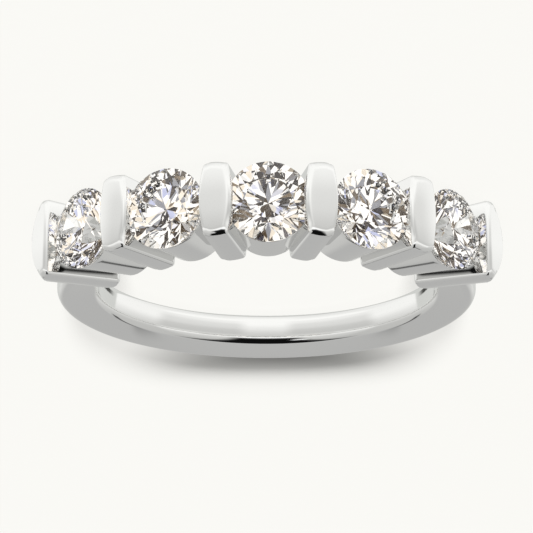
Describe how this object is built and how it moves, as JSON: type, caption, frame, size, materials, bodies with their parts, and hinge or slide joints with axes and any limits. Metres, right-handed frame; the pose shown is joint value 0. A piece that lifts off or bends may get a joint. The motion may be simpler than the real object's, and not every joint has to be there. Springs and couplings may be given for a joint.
{
  "type": "five-stone diamond band",
  "caption": "Finger ring with a row of round brilliants, each held in a cup between polished bars set across the band.",
  "frame": {"origin": "on the finger axis, at the middle of the band's width", "axes": "+Z along the finger axis, -Y from the finger to the middle stone, +X to the right of it"},
  "size_m": [0.0232, 0.0236, 0.004],
  "materials": {
    "white_gold": "polished rhodium-plated 14 carat white gold",
    "diamond": "colourless cut diamond with polished facets"
  },
  "bodies": {
    "root": {"band": "white_gold", "stone_1": "diamond", "stone_2": "diamond", "stone_3": "diamond", "stone_4": "diamond", "stone_5": "diamond"}
  },
  "joints": []
}
